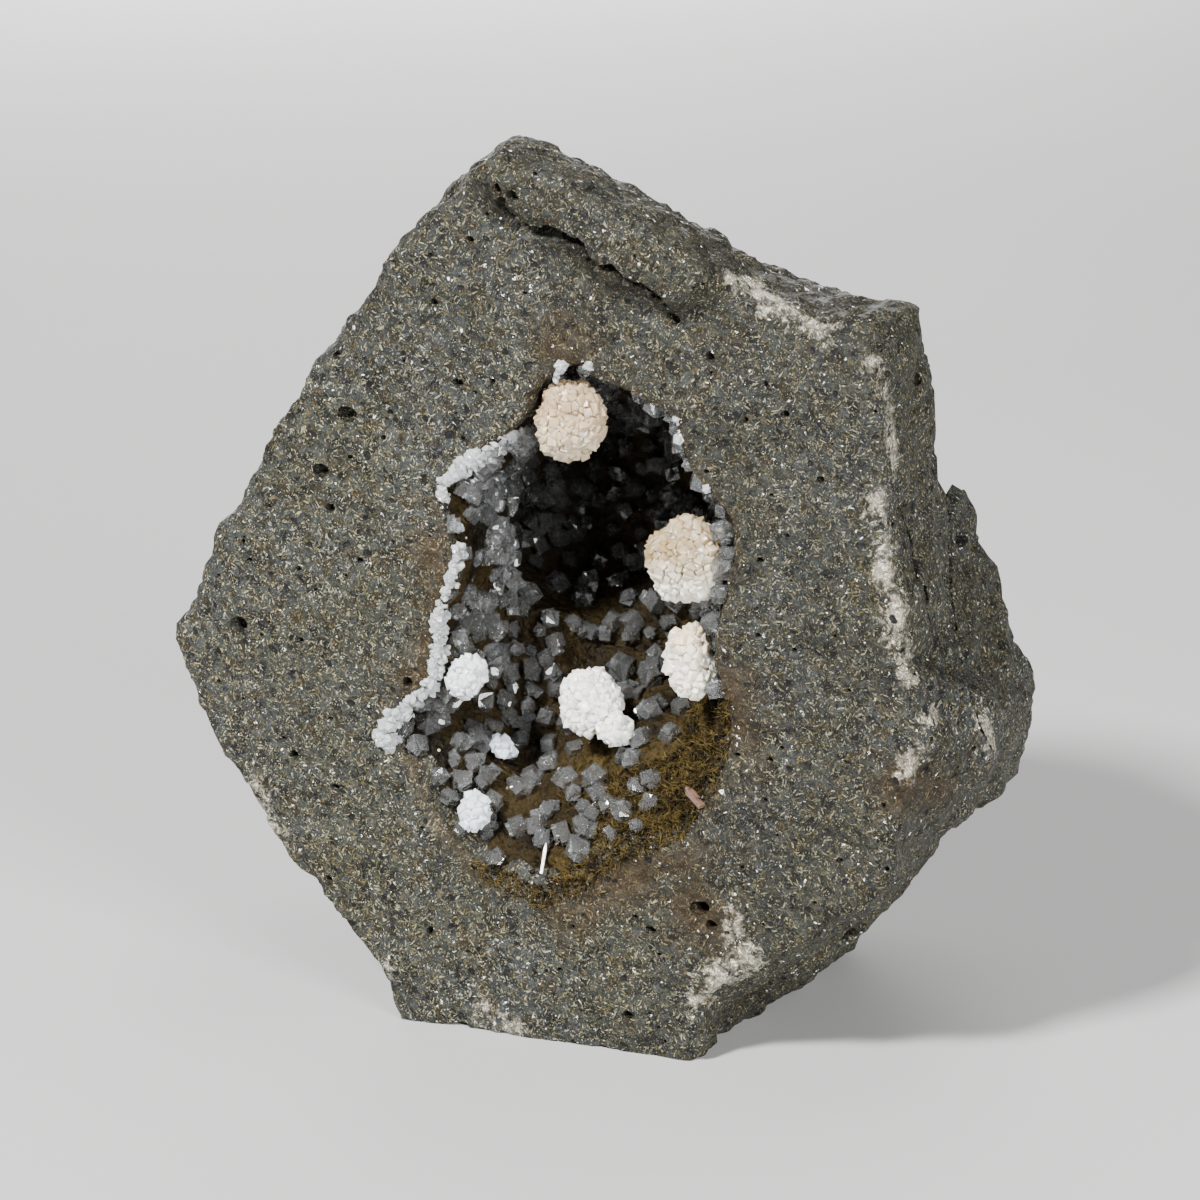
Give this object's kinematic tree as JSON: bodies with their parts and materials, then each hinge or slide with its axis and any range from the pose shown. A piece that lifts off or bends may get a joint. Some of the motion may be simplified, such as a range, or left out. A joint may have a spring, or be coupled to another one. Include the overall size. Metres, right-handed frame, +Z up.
{
  "type": "phillipsite and chabazite mineral specimen on basalt",
  "caption": "Broken grey basalt block standing on its narrow end, with an open vug lined by glassy chabazite crystals and cream phillipsite balls.",
  "frame": {"origin": "on the flat base, under the middle of the hollow", "axes": "+Z up, -Y out of the flat front face that holds the hollow, +X to the right of someone who looks at that face"},
  "size_m": [0.0784, 0.0449, 0.0824],
  "materials": {
    "basalt": "rough broken stone",
    "chabazite": "glassy crystals on a dull olive-brown lining",
    "phillipsite": "silky, finely crystalline"
  },
  "bodies": {
    "root": {"basalt_matrix": "basalt", "zeolite_crust": "chabazite", "phillipsite_ball_top": "phillipsite", "phillipsite_ball_right": "phillipsite", "phillipsite_ball_lower_right": "phillipsite", "phillipsite_ball_centre": "phillipsite", "phillipsite_ball_left": "phillipsite", "phillipsite_ball_floor": "phillipsite", "phillipsite_ball_low_left": "phillipsite"}
  },
  "joints": []
}
